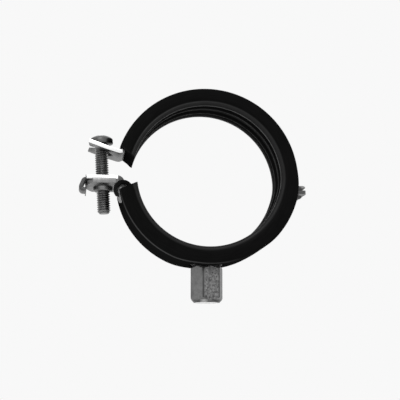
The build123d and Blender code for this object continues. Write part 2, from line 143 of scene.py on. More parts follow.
NUT_APOTHEM = 6.5               # half the width over the flats
NUT_CORNER = 7.506
NUT_ROLLED = 7.32               # the corners are rolled down to this radius
NUT_TURN = -18.0
NUT_BOTTOM = -55.39
NUT_CAP = -38.55                # highest point, inside the curve of the strip
NUT_CHAMFER = 1.9
NUT_CHAMFER_HEIGHT = 2.1
NUT_CHAMFER_SHARES = (0.3, 0.4, 0.5, 0.6, 0.8, 1.0)
NUT_BREAK = (0.1, 0.08)         # width and height of the broken edge at its lower end
NUT_TURNS = (-26, -20, -14, -10.4, -7, -3.5, 0, 3.5, 7, 10.4, 14, 20, 26)    # degrees from each corner
NUT_MOUTH = (5.4, 4.6)          # radii on the way into the bore at the upper end
M10_DEPTH = 8.5
M10_THREAD = (4.25, 4.95, 1.5)  # crest radius, root radius, pitch
M8_THREAD = (3.4, 4.0, 1.25)
M10_START = 0.7                 # from the lower end
M8_START = 0.8                  # from the step between the threads
THREAD_ROWS = 10                # rows of points to a turn
THREAD_FADE = 0.6
BORE_INSET = 0.02
UNDER_RING = 0.02               # room between the nut and the strip

WELD_SEED = 7
WELD_COLUMNS = 96
WELD_COLUMNS_A_SIZE = 4
WELD_CORNERS = 10
WELD_SIZE = (0.24, 0.08)        # least radius, and the most that chance adds
WELD_INSET = (0.45, 0.05)       # from the nut's corners, and from its sides
WELD_DROP = 0.18
WELD_FLATNESS = 0.8

# ---------------------------------------------------------------- materials, with places in millimetres
NOISE_RANGE = (0.3, 0.7)        # where most of a noise's values lie
SIDE_FACING = (0.8, 0.93)       # how squarely a face looks along the pipe
HALVES_PART = (-8.0, 4.0)       # heights between which the ring's centre moves to the upper half's
LIP_FACE_RADIUS = (38.95, 39.1)
LIP_FACE_SIDE = (11.3, 11.6)
LIP_CORNER_RADIUS = (38.5, 39.0)
LIP_CORNER_STARTS = (11.5, 11.7)
LIP_CORNER_ENDS = (11.85, 11.98)
LIP_GLEAM_TOWARDS = (-0.53, -0.848)     # the lips' corner is shiniest on this side of the ring
LIP_GLEAM = (0.6, 0.97)         # cosine of the angle from there
RIM_BEAD_RADIUS = (33.2, 33.8)
RIM_BEAD_SIDE = (8.6, 9.0)
UPPER_CUT_AT = (-39.65, 12.31)  # a point of the upper end's cut, along X and Z, and the way the cut faces
UPPER_CUT_FACES = (-0.6536, -0.7568)
UPPER_CUT_DEPTH = (-0.5, -0.3)
UPPER_CUT_ABOVE = 4.0
EARS_PART = 5.0                 # a height between the two ears
HEAD_STARTS = (13.5, 14.5)
NUT_EDGE_RADIUS = (7.24, 7.3)
NUT_FLAKES_GROW = (-2.5, -1.0)  # along X
NUT_SHADE_FROM = (5.2, 5.8)      # along X, where painted shade on the nut's right-hand faces begins
NUT_GLINT_AT = -1.8             # along X, the middle of the painted highlight on the chamfer
NUT_GLINT_WIDTH = (0.5, 1.9)
NUT_CHAMFER_NOISE = (0.35, 0.65)
NUT_TURNED_END = (-54.4, -54.1)
NUT_END_FACING = -0.95          # how squarely a face looks down
NUT_BORE = 5.3

RUBBER_GLOSS = 0.035            # the first four are specular levels
CORNER_GLOSS = 0.8
RIM_GLOSS = 0.27
NO_GLOSS = 0.0
PAINTED_SHEEN_TONE = 0.008       # how much paler the glossless rubber is, a painted sheen in place of the gloss taken off
SHEARED_ROUGHNESS = 0.3
HEAD_SHADE_SHARE = 0.55              # share of the tone left on the head, as painted shade
NUT_WARP = 0.6
NUT_FLAKES = (-0.07, 0.07)      # lighter or darker than the nut's tone
NUT_CONTRAST = (0.35, 1.3)      # share of that on the left and on the right
NUT_TONE = 0.18
NUT_SHADE_SHARE = 0.68
NUT_CORNER_SHADE = 0.07
NUT_GLINT = 0.3
WELD_ROUGHNESS = 0.5


# ---------------------------------------------------------------- helpers
def smoothstep(low, high, value):
    share = min(1.0, max(0.0, (value - low) / (high - low)))
    return share * share * (3 - 2 * share)


def mix(a, b, share):
    return a + (b - a) * share


def add_piece(name, points, faces, material, body, slot, smooth_angle):
    """Mesh from points in millimetres, closed and shaded smooth up to an angle between faces."""
    mesh = bpy.data.meshes.new(name)
    mesh.from_pydata([Vector(point) * MM for point in points], [], faces)
    return finish_piece(name, mesh, material, body, smooth_angle)


SAME_POINT = 0.0005             # millimetres


def clean(mesh):
    """Joins points that coincide and turns every face outwards."""
    work = bmesh.new()
    work.from_mesh(mesh)
    bmesh.ops.remove_doubles(work, verts=work.verts, dist=SAME_POINT * MM)
    bmesh.ops.recalc_face_normals(work, faces=work.faces)
    work.to_mesh(mesh)
    work.free()


def finish_piece(name, mesh, material, body, smooth_angle):
    clean(mesh)
    mesh.materials.clear()
    mesh.materials.append(material)
    mesh.shade_smooth()
    mesh.set_sharp_from_angle(angle=math.radians(smooth_angle))
    piece = bpy.data.objects.new(name, mesh)
    bpy.context.scene.collection.objects.link(piece)
    if body:
        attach(piece, body)
    return piece


def tube(rings):
    """Points and faces of a closed skin through equal loops of points, with a cap at each end."""
    count = len(rings[0])
    points = [point for ring in rings for point in ring]
    faces = []
    for row in range(len(rings) - 1):
        for column in range(count):
            following = (column + 1) % count
            a, b = row * count, (row + 1) * count
            faces.append((a + column, a + following, b + following, b + column))
    faces.append(tuple(range(count - 1, -1, -1)))
    last = (len(rings) - 1) * count
    faces.append(tuple(range(last, last + count)))
    return points, faces


def closed_tube(rings):
    """Points and faces of a skin whose last loop meets its first, without caps."""
    points, faces = tube(rings)
    del faces[-2:]
    count = len(rings[0])
    last = (len(rings) - 1) * count
    for column in range(count):
        following = (column + 1) % count
        faces.append((last + column, last + following, following, column))
    return points, faces


def cut_away(piece, cutter):
    """Takes the cutter's shape out of the piece, and deletes the cutter."""
    modifier = piece.modifiers.new("cut", "BOOLEAN")
    modifier.operation = "DIFFERENCE"
    modifier.object = cutter
    modifier.solver = "EXACT"
    evaluated = piece.evaluated_get(bpy.context.evaluated_depsgraph_get())
    mesh = bpy.data.meshes.new_from_object(evaluated)
    piece.modifiers.clear()
    old = piece.data
    piece.data = mesh
    bpy.data.meshes.remove(old)
    bpy.data.objects.remove(cutter)


THREAD_STEEPNESS = 1.3
THREAD_FLAT = 0.12


def thread_profile(turns):
    """0 and 1 at the two ends of a thread's depth, with small flats at both."""
    share = turns % 1.0
    ramp = 1 - abs(2 * share - 1)
    return min(1.0, max(0.0, THREAD_STEEPNESS * ramp - THREAD_FLAT))


# ---------------------------------------------------------------- camera and light
def camera():
    data = bpy.data.cameras.new("camera")
    data.sensor_width = SENSOR
    data.lens = FOCAL_SHARE * SENSOR
    data.clip_end = SEEN_UP_TO
    obj = bpy.data.objects.new("camera", data)
    obj.location = Vector(CAMERA_AT) * MM
    towards = Vector(CAMERA_TO) - Vector(CAMERA_AT)
    obj.rotation_euler = towards.to_track_quat("-Z", "Y").to_euler()
    bpy.context.scene.collection.objects.link(obj)
    bpy.context.scene.camera = obj


def area_lamp(name, place, towards, size, energy):
    data = bpy.data.lights.new(name, "AREA")
    data.shape = "RECTANGLE"
    data.size, data.size_y = size[0] * MM, size[1] * MM
    data.energy = energy
    obj = bpy.data.objects.new(name, data)
    obj.location = Vector(place) * MM
    direction = Vector(towards) - Vector(place)
    obj.rotation_euler = direction.to_track_quat("-Z", "Y").to_euler()
    obj.visible_camera = False
    bpy.context.scene.collection.objects.link(obj)


def seen_or_mirrored(nodes, links):
    """Mix shader whose second input is what the camera sees, straight or in a mirror."""
    path = nodes.new("ShaderNodeLightPath")
    seen = nodes.new("ShaderNodeMath")
    seen.operation = "MAXIMUM"
    links.new(path.outputs["Is Camera Ray"], seen.inputs[0])
    links.new(path.outputs["Is Glossy Ray"], seen.inputs[1])
    through = nodes.new("ShaderNodeMath")
    through.operation = "MAXIMUM"
    links.new(seen.outputs[0], through.inputs[0])
    links.new(path.outputs["Is Transmission Ray"], through.inputs[1])
    mixed = nodes.new("ShaderNodeMixShader")
    links.new(through.outputs[0], mixed.inputs["Fac"])
    return mixed


def world():
    new = bpy.data.worlds.new("studio")
    bpy.context.scene.world = new
    new.use_nodes = True
    nodes, links = new.node_tree.nodes, new.node_tree.links
    nodes.clear()
    mixed = seen_or_mirrored(nodes, links)
    for index, strength in ((1, SOFT_LIGHT), (2, BACKGROUND)):
        light = nodes.new("ShaderNodeBackground")
        light.inputs["Color"].default_value = (1, 1, 1, 1)
        light.inputs["Strength"].default_value = strength
        links.new(light.outputs[0], mixed.inputs[index])
    out = nodes.new("ShaderNodeOutputWorld")
    links.new(mixed.outputs[0], out.inputs["Surface"])


def floor():
    mesh = bpy.data.meshes.new("floor")
    half, z = FLOOR_SIZE / 2 * MM, FLOOR_HEIGHT * MM
    corners = [(-half, -half, z), (half, -half, z), (half, half, z), (-half, half, z)]
    mesh.from_pydata(corners, [], [(0, 1, 2, 3)])
    obj = bpy.data.objects.new("floor", mesh)
    bpy.context.scene.collection.objects.link(obj)
    material = bpy.data.materials.new("floor_paper")
    material.use_nodes = True
    shader = material.node_tree.nodes["Principled BSDF"]
    shader.inputs["Base Color"].default_value = (0.9, 0.9, 0.9, 1)
    shader.inputs["Roughness"].default_value = 0.9
    nodes, links = material.node_tree.nodes, material.node_tree.links
    paper = nodes.new("ShaderNodeEmission")
    paper.inputs["Strength"].default_value = BACKGROUND
    mixed = seen_or_mirrored(nodes, links)
    links.new(shader.outputs[0], mixed.inputs[1])
    links.new(paper.outputs[0], mixed.inputs[2])
    links.new(mixed.outputs[0], nodes["Material Output"].inputs["Surface"])
    obj.data.materials.append(material)


# ---------------------------------------------------------------- materials
class Nodes:
    """Short calls for one material's nodes."""

    def __init__(self, name):
        self.material = bpy.data.materials.new(name)
        self.material.use_nodes = True
        self.tree = self.material.node_tree
        self.shader = self.tree.nodes["Principled BSDF"]
        self.place = self.tree.nodes.new("ShaderNodeTexCoord").outputs["Object"]

    def link(self, source, target):
        self.tree.links.new(source, target)

    def math(self, operation, first, second=0.0):
        node = self.tree.nodes.new("ShaderNodeMath")
        node.operation = operation
        for index, value in enumerate((first, second)):
            if isinstance(value, (int, float)):
                node.inputs[index].default_value = value
            else:
                self.link(value, node.inputs[index])
        return node.outputs[0]

    def add(self, first, second):
        return self.math("ADD", first, second)

    def times(self, first, second):
        return self.math("MULTIPLY", first, second)

    def length(self, first, second):
        return self.math("SQRT", self.add(self.times(first, first), self.times(second, second)))

    def noise(self, vector, scale, detail=3.0):
        node = self.tree.nodes.new("ShaderNodeTexNoise")
        node.inputs["Scale"].default_value = scale
        node.inputs["Detail"].default_value = detail
        node.inputs["Roughness"].default_value = 0.55
        self.link(vector, node.inputs["Vector"])
        return node.outputs["Fac"]

    def cells(self, vector, scale):
        node = self.tree.nodes.new("ShaderNodeTexVoronoi")
        node.inputs["Scale"].default_value = scale
        self.link(vector, node.inputs["Vector"])
        return node.outputs["Color"]

    def spread(self, value, low, high, to_low, to_high):
        node = self.tree.nodes.new("ShaderNodeMapRange")
        self.link(value, node.inputs["Value"])
        for key, number in (("From Min", low), ("From Max", high), ("To Min", to_low), ("To Max", to_high)):
            node.inputs[key].default_value = number
        return node.outputs["Result"]

    def varied(self, noise, low, high):
        """A noise that mostly lies between two values."""
        return self.spread(noise, *NOISE_RANGE, low, high)

    def over(self, value, low, high, to_low=0.0, to_high=1.0):
        """Passes from one number to another between two places in millimetres."""
        return self.spread(value, low * MM, high * MM, to_low, to_high)

    def until(self, value, low, high):
        """1 up to one place in millimetres and 0 from the other on."""
        return self.over(value, low, high, 1.0, 0.0)

    def blend(self, share, first, second):
        """A number between two, each a plain number or a socket."""
        node = self.tree.nodes.new("ShaderNodeMix")
        node.data_type = "FLOAT"
        for key, value in (("Factor", share), ("A", first), ("B", second)):
            if isinstance(value, (int, float)):
                node.inputs[key].default_value = value
            else:
                self.link(value, node.inputs[key])
        return node.outputs["Result"]

    def grey(self, value):
        node = self.tree.nodes.new("ShaderNodeCombineColor")
        for index in range(3):
            self.link(value, node.inputs[index])
        return node.outputs["Color"]

    def split(self, vector):
        node = self.tree.nodes.new("ShaderNodeSeparateXYZ")
        self.link(vector, node.inputs[0])
        return node.outputs

    def join(self, x, y, z):
        node = self.tree.nodes.new("ShaderNodeCombineXYZ")
        for index, value in enumerate((x, y, z)):
            self.link(value, node.inputs[index])
        return node.outputs[0]

    def bump(self, height, distance, strength, below=None):
        node = self.tree.nodes.new("ShaderNodeBump")
        node.inputs["Distance"].default_value = distance * MM
        node.inputs["Strength"].default_value = strength
        self.link(height, node.inputs["Height"])
        if below:
            self.link(below, node.inputs["Normal"])
        return node.outputs["Normal"]

    def around_ring(self, along=0.01):
        """Coordinates round the ring: the angle times a small number, the radius and the width."""
        x, y, z = self.split(self.place)
        angle = self.math("ARCTAN2", z, x)
        return self.join(self.times(angle, along), self.length(x, z), y)

    def facing(self):
        return self.split(self.tree.nodes.new("ShaderNodeNewGeometry").outputs["Normal"])

    def facing_side(self):
        """1 on faces that look along the pipe, as the strip's cut edges do, and 0 elsewhere."""
        return self.spread(self.math("ABSOLUTE", self.facing()[1]), *SIDE_FACING, 0.0, 1.0)

    def radius_in_half(self):
        """Distance in metres from the ring's centre, and how far that is on its way to the upper half's."""
        x, _, z = self.split(self.place)
        upper = self.over(z, *HALVES_PART)
        across = self.math("SUBTRACT", x, self.times(upper, UPPER_CENTRE[0] * MM))
        height = self.math("SUBTRACT", z, self.times(upper, UPPER_CENTRE[1] * MM))
        return self.length(across, height), upper


def metal(name):
    new = Nodes(name)
    new.shader.inputs["Metallic"].default_value = 1.0
    return new


def rubber_places(new):
    """Shares of the lips' outer face, their shiny corner, the bead at the rim and the upper end's cut."""
    x, y, z = new.split(new.place)
    radius, upper = new.radius_in_half()
    side = new.math("ABSOLUTE", y)
    outside = new.times(new.over(radius, *LIP_FACE_RADIUS), new.until(side, *LIP_FACE_SIDE))
    corner = new.times(new.over(radius, *LIP_CORNER_RADIUS), new.over(side, *LIP_CORNER_STARTS))
    corner = new.times(corner, new.until(side, *LIP_CORNER_ENDS))
    along = new.add(new.times(x, LIP_GLEAM_TOWARDS[0]), new.times(z, LIP_GLEAM_TOWARDS[1]))
    corner = new.times(corner, new.spread(new.math("DIVIDE", along, radius), *LIP_GLEAM, 0.0, 1.0))
    from_bore = new.math("SUBTRACT", radius, new.times(upper, (UPPER_BORE - LOWER_BORE) * MM))
    rim = new.times(new.until(from_bore, *RIM_BEAD_RADIUS), new.over(side, *RIM_BEAD_SIDE))
    across = new.times(new.math("SUBTRACT", x, UPPER_CUT_AT[0] * MM), UPPER_CUT_FACES[0])
    height = new.times(new.math("SUBTRACT", z, UPPER_CUT_AT[1] * MM), UPPER_CUT_FACES[1])
    above = new.math("GREATER_THAN", z, UPPER_CUT_ABOVE * MM)
    cut = new.times(new.over(new.add(across, height), *UPPER_CUT_DEPTH), above)
    return outside, corner, rim, cut


def rubber_material():
    """Black rubber, glossless and painted a little paler as a painted sheen on the lips' outer faces and
    the cut end, shinier at their corner and the rim.
    """
    new = Nodes("rubber")
    shader = new.shader
    mottle = new.noise(new.place, scale=180.0, detail=4.0)
    streaks = new.noise(new.around_ring(along=0.004), scale=1800.0, detail=2.0)
    outside, corner, rim, cut = rubber_places(new)
    level = new.blend(outside, RUBBER_GLOSS, NO_GLOSS)
    for share, there in ((corner, CORNER_GLOSS), (rim, RIM_GLOSS), (cut, NO_GLOSS)):
        level = new.blend(share, level, there)
    new.link(level, shader.inputs["Specular IOR Level"])
    tone = new.add(new.varied(mottle, 0.003, 0.0045), new.varied(streaks, -0.0007, 0.001))
    # painted sheen: the glossless faces are painted paler in place of their reflection
    tone = new.add(tone, new.times(new.math("MAXIMUM", outside, cut), PAINTED_SHEEN_TONE))
    new.link(new.grey(tone), shader.inputs["Base Color"])
    new.link(new.varied(mottle, 0.42, 0.58), shader.inputs["Roughness"])
    grain = new.noise(new.place, scale=5200.0)
    normal = new.bump(streaks, distance=0.02, strength=0.6)
    new.link(new.bump(grain, distance=0.012, strength=0.7, below=normal), shader.inputs["Normal"])
    return new.material


def strip_material():
    """Zinc plated strip: brushed along its length; the ears' cut edges are bare steel painted near white, a
    painted highlight; the bent end beyond the ears and the cut edges off the ears are darker, painted
    shade.
    """
    new = metal("zinc_strip")
    shader = new.shader
    cloud = new.noise(new.place, scale=260.0, detail=4.0)
    brushed = new.noise(new.around_ring(along=0.006), scale=3200.0)
    x, _, z = new.split(new.place)
    upper = new.math("GREATER_THAN", z, EARS_PART * MM)
    stop = new.blend(upper, LOWER_EAR_STOP * MM, UPPER_EAR_STOP * MM)
    on_ear = new.times(new.math("GREATER_THAN", x, EAR_START * MM), new.math("LESS_THAN", x, stop))
    edges = new.facing_side()
    # the ears' cut edges: bare steel, painted near white as a painted highlight
    sheared_with_highlight = new.times(edges, on_ear)
    # painted shade: the bent end beyond the ears, and the cut edges off the ears, are painted darker
    shaded_hook = new.math("LESS_THAN", x, EAR_START * MM)
    painted_shade = new.math("MAXIMUM", shaded_hook, new.times(edges, new.math("SUBTRACT", 1.0, on_ear)))
    face = new.add(new.varied(cloud, 0.13, 0.24), new.varied(brushed, -0.03, 0.05))
    tone = new.blend(painted_shade, face, new.varied(cloud, 0.07, 0.13))
    speckle = new.noise(new.place, scale=900.0, detail=2.0)
    tone = new.blend(sheared_with_highlight, tone, new.varied(speckle, 0.9, 1.0))
    new.link(new.grey(tone), shader.inputs["Base Color"])
    rough = new.blend(sheared_with_highlight, new.varied(cloud, 0.36, 0.5), SHEARED_ROUGHNESS)
    new.link(rough, shader.inputs["Roughness"])
    fine = new.noise(new.place, scale=2600.0)
    normal = new.bump(brushed, distance=0.01, strength=0.5)
    new.link(new.bump(fine, distance=0.012, strength=0.6, below=normal), shader.inputs["Normal"])
    return new.material


def plate_material():
    """Thicker plated steel, with a brighter punched edge."""
    new = metal("zinc_plate")
    shader = new.shader
    cloud = new.noise(new.place, scale=420.0, detail=4.0)
    fine = new.noise(new.place, scale=2600.0)
    face = new.add(new.varied(cloud, 0.12, 0.24), new.varied(fine, -0.02, 0.03))
    tone = new.blend(new.facing_side(), face, new.varied(cloud, 0.24, 0.32))
    new.link(new.grey(tone), shader.inputs["Base Color"])
    new.link(new.varied(fine, 0.34, 0.48), shader.inputs["Roughness"])
    normal = new.bump(fine, distance=0.012, strength=0.6)
    new.link(new.bump(cloud, distance=0.05, strength=0.5, below=normal), shader.inputs["Normal"])
    return new.material


def screw_material():
    """Plated screw, with painted shade darkening its head."""
    new = metal("zinc_screw")
    shader = new.shader
    cloud = new.noise(new.place, scale=500.0, detail=4.0)
    fine = new.noise(new.place, scale=3000.0)
    tone = new.add(new.varied(cloud, 0.15, 0.26), new.varied(fine, -0.02, 0.03))
    # painted shade: the head is darker than the shank
    tone = new.times(tone, new.over(new.split(new.place)[2], *HEAD_STARTS, 1.0, HEAD_SHADE_SHARE))
    new.link(new.grey(tone), shader.inputs["Base Color"])
    new.link(new.varied(cloud, 0.26, 0.4), shader.inputs["Roughness"])
    new.link(new.bump(fine, distance=0.012, strength=0.6), shader.inputs["Normal"])
    return new.material


def nut_material():
    """Zinc with a fine crystal pattern; painted shade on its right-hand faces and corners; a darker chamfer
    with a painted highlight; the end face and bore are bare lathe-cut steel, painted near white as painted
    light.
    """
    new = metal("zinc_nut")
    shader = new.shader
    x, y, z = new.split(new.place)
    warp = new.noise(new.place, scale=900.0, detail=2.0)
    shifted = new.join(new.add(x, new.times(warp, NUT_WARP * MM)), y, z)
    crystal = new.split(new.cells(shifted, scale=1500.0))[0]
    cloud = new.noise(new.place, scale=300.0, detail=4.0)
    contrast = new.over(x, *NUT_FLAKES_GROW, *NUT_CONTRAST)
    flakes = new.times(contrast, new.spread(crystal, 0.0, 1.0, *NUT_FLAKES))
    tone = new.add(new.add(flakes, NUT_TONE), new.varied(cloud, -0.03, 0.03))
    # painted shade: the right-hand faces are darker
    tone = new.times(tone, new.over(x, *NUT_SHADE_FROM, 1.0, NUT_SHADE_SHARE))
    radius = new.length(x, y)
    # painted shade: a dark line on the nut's rolled corners
    tone = new.blend(new.over(radius, *NUT_EDGE_RADIUS), tone, NUT_CORNER_SHADE)
    # on the chamfer the tone is darker and varies at random, and glint is a painted highlight stripe
    from_glint = new.math("ABSOLUTE", new.math("SUBTRACT", x, NUT_GLINT_AT * MM))
    glint = new.over(from_glint, *NUT_GLINT_WIDTH, NUT_GLINT, 0.0)
    chamfer_noise = new.noise(new.place, scale=500.0, detail=2.0)
    chamfer_tone = new.spread(chamfer_noise, *NUT_CHAMFER_NOISE, 0.05, 0.17)
    tone = new.blend(new.until(z, *NUT_TURNED_END), tone, new.add(glint, chamfer_tone))
    # the end face and the bore: bare lathe-cut steel, painted near white as painted light
    end_face = new.math("LESS_THAN", new.facing()[2], NUT_END_FACING)
    lathe_cut_painted_light = new.math("MAXIMUM", end_face, new.math("LESS_THAN", radius, NUT_BORE * MM))
    lathe_marks = new.noise(new.around_ring(), scale=2600.0)
    tone = new.blend(lathe_cut_painted_light, tone, new.varied(lathe_marks, 0.88, 0.98))
    new.link(new.grey(tone), shader.inputs["Base Color"])
    new.link(new.spread(crystal, 0.0, 1.0, 0.3, 0.46), shader.inputs["Roughness"])
    normal = new.bump(cloud, distance=0.06, strength=0.6)
    new.link(new.bump(crystal, distance=0.02, strength=0.5, below=normal), shader.inputs["Normal"])
    return new.material


def weld_material():
    """Uneven, dark zinc on the bead round the nut."""
    new = metal("zinc_weld")
    shader = new.shader
    cloud = new.noise(new.place, scale=1500.0, detail=4.0)
    new.link(new.grey(new.varied(cloud, 0.06, 0.2)), shader.inputs["Base Color"])
    shader.inputs["Roughness"].default_value = WELD_ROUGHNESS
    new.link(new.bump(cloud, distance=0.06, strength=0.8), shader.inputs["Normal"])
    return new.material


# ---------------------------------------------------------------- rubber lining
RIB_POINTS = (                  # across the rib from its middle, and how far its skin is beyond the bore
    (-1.8, 1.0), (-1.15, 0.45), (-0.75, 0.12), (-0.3, 0.0),
    (0.3, 0.0), (0.75, 0.12), (1.15, 0.45), (1.8, 1.0),
)
RIB_CENTRE = 4.2
RIB_DEPTH = 1.0
RIM_FOOT_SIDE = 9.55            # where the rim's inner foot is, from the middle
# beyond the bore, and from the rim's foot or from the side face
RIM_FOOT = ((RIB_DEPTH, -1.1), (0.35, -0.35), (0.06, -0.05), (0.0, 0.35))
RIM_TOP = ((0.0, -1.35), (0.12, -1.05), (0.45, -0.62), (0.9, -0.28), (1.3, -0.12))
GROOVE = (2.05, 0.5, 0.3)       # beyond the bore, half width and depth of the groove in each side face
# shares of the groove's half width and depth
GROOVE_POINTS = ((-1.0, 0.5), (-1 / 3, 1.0), (1 / 3, 0.9), (1.0, 0.3), (2.0, 0.0))
LIP_ROUND = 0.85
LIP_ROUND_STEP = 15             # degrees
LIP_EDGE_ROUND = 0.15


def half_section(bore, lip_edge, lip_out):
    """Points (radius, y) from the middle of the bore round the side to the middle behind the steel."""
    side = LINING_SIDE
    web_out = STEEL_IN - FIT
    steel_out = STEEL_OUT + FIT
    steel_side = STRIP_EDGE + FIT
    points = [(bore + RIB_DEPTH, RIB_CENTRE / 4 * step) for step in range(1, 3)]
    points += [(bore + depth, RIB_CENTRE + along) for along, depth in RIB_POINTS]
    points += [(bore + depth, RIM_FOOT_SIDE + along) for depth, along in RIM_FOOT]
    points += [(bore + depth, side + along) for depth, along in RIM_TOP]
    beyond, half, depth = GROOVE
    points += [(bore + beyond + half * across, side - depth * down) for across, down in GROOVE_POINTS]
    points.append((web_out, side))
    corner = lip_out - LIP_ROUND
    for angle in range(90, -1, -LIP_ROUND_STEP):
        turn = math.radians(angle)
        points.append((corner + LIP_ROUND * math.cos(turn), side + LIP_ROUND * (math.sin(turn) - 1)))
    points.append((lip_out, max(lip_edge + 2 * LIP_EDGE_ROUND, steel_side)))
    points.append((lip_out, lip_edge + LIP_EDGE_ROUND))
    points += [(lip_out - LIP_EDGE_ROUND, lip_edge), (steel_out, lip_edge), (steel_out, steel_side)]
    points += [(web_out, steel_side), (web_out, steel_side / 2)]
    return points


def end_shift(end, radius):
    """Degrees by which a slanted cut is ahead of its middle at a radius."""
    _, middle, slant = end
    return slant - math.degrees(math.asin(middle * math.sin(math.radians(slant)) / radius))


def lining_ring(angle, lip_edge):
    """Loop of points across the lining at an angle, slanted near the two cut ends."""
    share = smoothstep(*HINGE_BLEND, angle - 360)
    bore = mix(LOWER_BORE, UPPER_BORE, share)
    centre = [mix(a, b, share) for a, b in zip(LOWER_CENTRE, UPPER_CENTRE)]
    start, full, fading, stop = THIN_LIP_ANGLES
    thin = smoothstep(start, full, angle) * (1 - smoothstep(fading, stop, angle))
    half = half_section(bore, lip_edge, LIP_OUT + UPPER_LIP_EXTRA * share - THIN_LIP * thin)
    loop = [(bore + RIB_DEPTH, 0.0)] + half + [(STEEL_IN - FIT, 0.0)]
    loop += [(radius, -y) for radius, y in reversed(half)]
    lower_share = 1 - smoothstep(*LOWER_SLANT_ENDS, angle)
    upper_share = smoothstep(*UPPER_SLANT_STARTS, angle)
    notch_middle = bore + GROOVE[0] + END_NOTCH_BEYOND
    points = []
    for radius, y in loop:
        turn = angle
        if lower_share > 0:
            turn += lower_share * end_shift(LOWER_END, radius)
        if upper_share > 0:
            notch = END_NOTCH * smoothstep(END_NOTCH_WIDTH, 0.0, abs(radius - notch_middle))
            turn += upper_share * end_shift(UPPER_END, radius)
            turn -= notch * smoothstep(*END_NOTCH_ANGLES, angle)
        direction = math.radians(turn)
        x = centre[0] + radius * math.cos(direction)
        z = centre[1] + radius * math.sin(direction)
        points.append((x, y, z))
    return points


def lip_edge_at(angle):
    """Where the lips stop: at the strip's edge, clear of the hinge, round the nut or at the slit."""
    share = smoothstep(*HINGE_BLEND, angle - 360)
    turn = math.radians(angle)
    height = mix(LOWER_CENTRE[1], UPPER_CENTRE[1], share) + LIP_OUT * math.sin(turn)
    across = LIP_OUT * math.cos(turn)
    if angle < LOWER_LIP_END:
        return STRIP_EDGE + FIT
    if across > 0 and HINGE_ROOM_LOW < height < HINGE_ROOM_HIGH:
        return HINGE_ROOM_SIDE
    if abs(across) < NUT_ROOM and height < 0:
        return max(SLIT, math.sqrt(NUT_ROOM**2 - across**2))
    return SLIT


RING_STEP = 1.0                 # degrees
RING_CLOSE = 0.02
NUT_RING_STEP = 6               # degrees round the opening


def lining_angles():
    """Where the rings stand: evenly, in pairs at each step in the section, and round the nut's opening."""
    first, last = LOWER_END[0], UPPER_END[0] + 360
    count = round((last - first) / RING_STEP)
    angles = [first + (last - first) * index / count for index in range(count + 1)]
    low = 360 + math.degrees(math.asin(HINGE_ROOM_LOW / LIP_OUT))
    high = 360 + math.degrees(math.asin((HINGE_ROOM_HIGH - UPPER_CENTRE[1]) / LIP_OUT))
    for cut in (LOWER_LIP_END - LIP_LEAD, low, high):
        angles += [cut - RING_CLOSE, cut + RING_CLOSE]
    for turn in range(NUT_RING_STEP, 180, NUT_RING_STEP):
        across = NUT_ROOM * math.cos(math.radians(turn))
        angles.append(270 - math.degrees(math.asin(across / LIP_OUT)))
    return sorted(angles)


def lining(material):
    rings = []
    for angle in lining_angles():
        offset = LIP_LEAD if angle < LIP_LEAD_UNTIL else 0.0
        rings.append(lining_ring(angle, lip_edge_at(angle + offset)))
    piece = add_piece("rubber_lining", *tube(rings), material, None, "rubber", smooth_angle=28)
    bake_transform(piece)
    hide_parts("lower_lining", "upper_lining")


# ---------------------------------------------------------------- rubber tail round the nut plate
TAIL_CENTRE = (-37.64, -7.64)
TAIL_RADIUS = 3.4
TAIL_THICKNESS = 1.7
TAIL_WIDTH = (-11.95, -10.2)
TAIL_ANGLES = (28.0, 222.0)
TAIL_STEPS = 48
TAIL_EXTRA = 12                 # degrees of tip beyond the last angle
TAIL_TAPER = (-2, 14)           # degrees from the last angle between which the tip narrows
TAIL_LEAST = 0.02
TAIL_CORNER = 0.45
BOX_STEPS = 3


def rounded_box(width, height, radius):
    """Loop of points round a rectangle with rounded corners, about its middle."""
    points = []
    for corner, (sign_x, sign_y) in enumerate(((1, 1), (-1, 1), (-1, -1), (1, -1))):
        for step in range(BOX_STEPS + 1):
            turn = math.radians(90 * corner + 90 * step / BOX_STEPS)
            points.append((
                sign_x * (width / 2 - radius) + radius * math.cos(turn),
                sign_y * (height / 2 - radius) + radius * math.sin(turn),
            ))
    return points


def tail(material):
    middle_y = sum(TAIL_WIDTH) / 2
    width = TAIL_WIDTH[1] - TAIL_WIDTH[0]
    rings = []
    first, last = TAIL_ANGLES
    narrows, closes = TAIL_TAPER
    for index in range(TAIL_STEPS + 1):
        angle = first + (last + TAIL_EXTRA - first) * index / TAIL_STEPS
        taper = math.sqrt(max(TAIL_LEAST, 1 - smoothstep(last + narrows, last + closes, angle) ** 2))
        turn = math.radians(angle)
        ring = []
        for across, y in rounded_box(TAIL_THICKNESS * taper, width * taper, TAIL_CORNER * taper):
            radius = TAIL_RADIUS + across
            x = TAIL_CENTRE[0] + radius * math.cos(turn)
            z = TAIL_CENTRE[1] + radius * math.sin(turn)
            ring.append((x, middle_y + y, z))
        rings.append(ring)
    add_piece("rubber_tail", *tube(rings), material, "lower_half", "rubber", smooth_angle=40)


